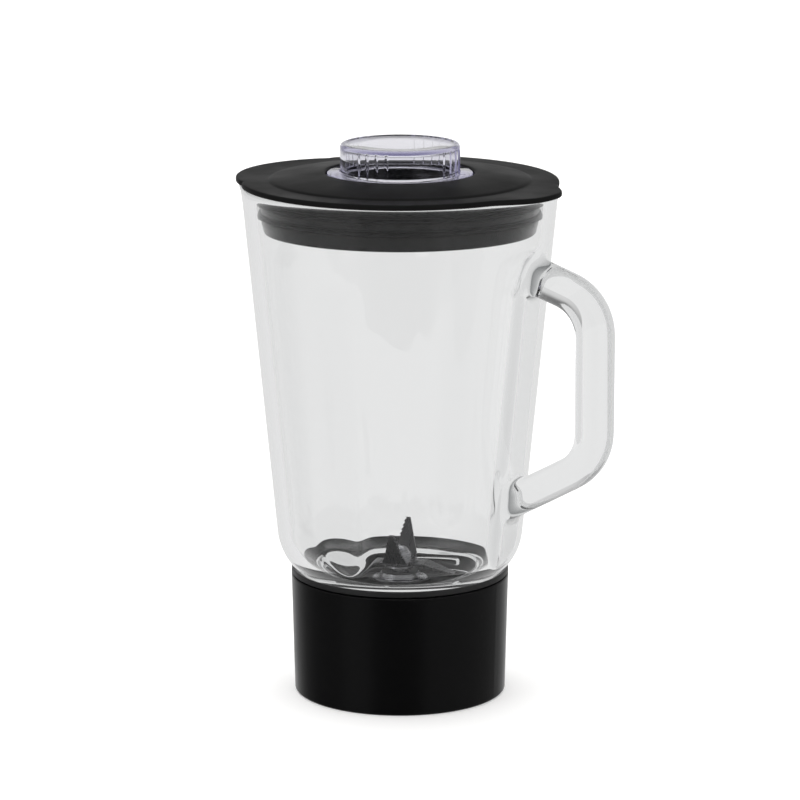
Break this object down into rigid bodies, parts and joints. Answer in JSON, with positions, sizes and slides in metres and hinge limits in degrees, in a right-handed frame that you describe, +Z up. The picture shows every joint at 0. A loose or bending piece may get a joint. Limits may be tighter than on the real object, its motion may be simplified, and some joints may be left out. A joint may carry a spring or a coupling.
{
  "type": "blender jug",
  "caption": "Clear pressed-glass blender jug with a bow handle, black lid, clear measuring cap and black locking base.",
  "frame": {"origin": "centre of the circular foot rim, on the surface the jug stands on", "axes": "+Z up along the jar's axis, +X towards the handle, so the pouring lip points to -X"},
  "size_m": [0.181, 0.142, 0.2512],
  "materials": {
    "jar_glass": "clear pressed soda glass, fire polished",
    "cap_clear": "clear moulded plastic, glossy",
    "base_black": "black, satin gloss",
    "collar_black": "black, fine satin",
    "lid_black": "soft black, satin",
    "plug_black": "soft black, smooth satin",
    "seal_grey": "dark grey, satin",
    "blade_steel": "brushed stainless",
    "turned_steel": "turned stainless",
    "bush_bronze": "sintered bronze, oiled",
    "coupling_black": "black glass-filled moulding"
  },
  "bodies": {
    "base": {"base_sleeve": "base_black", "collar": "collar_black", "docking_ring": "collar_black", "docking_screws": "turned_steel", "blade_carrier": "collar_black", "jar_gasket": "seal_grey", "bearing_housing": "turned_steel", "upper_bush": "bush_bronze", "lower_bush": "bush_bronze", "shaft_seal": "seal_grey", "housing_nut": "turned_steel"},
    "rotor": {"blade_shaft": "turned_steel", "retaining_ring": "turned_steel", "thrust_washer": "turned_steel", "blade_spacer": "turned_steel", "upper_blade": "blade_steel", "lower_blade": "blade_steel", "blade_nut": "turned_steel", "drive_coupling": "coupling_black", "coupling_insert": "bush_bronze"},
    "jar": {"glass_jar": "jar_glass", "jar_handle": "jar_glass"},
    "lid": {"lid_cover": "lid_black", "lid_plug": "plug_black", "lid_seal_low": "lid_black", "lid_seal_high": "lid_black"},
    "cap": {"measuring_cap": "cap_clear"}
  },
  "joints": [
    {"name": "blade_spin", "type": "hinge", "parent": "base", "child": "rotor", "pos_m": [0, 0, 0.03], "axis": [0, 0, 1], "continuous": true},
    {"name": "jar_unlock", "type": "hinge", "parent": "base", "child": "jar", "pos_m": [0, 0, 0.05], "axis": [0, 0, 1], "range_deg": [-45, 0]},
    {"name": "lid_lift", "type": "slide", "parent": "jar", "child": "lid", "axis": [0, 0, 1], "range_m": [0, 0.06]},
    {"name": "cap_lift", "type": "slide", "parent": "lid", "child": "cap", "axis": [0, 0, 1], "range_m": [0, 0.04]}
  ]
}
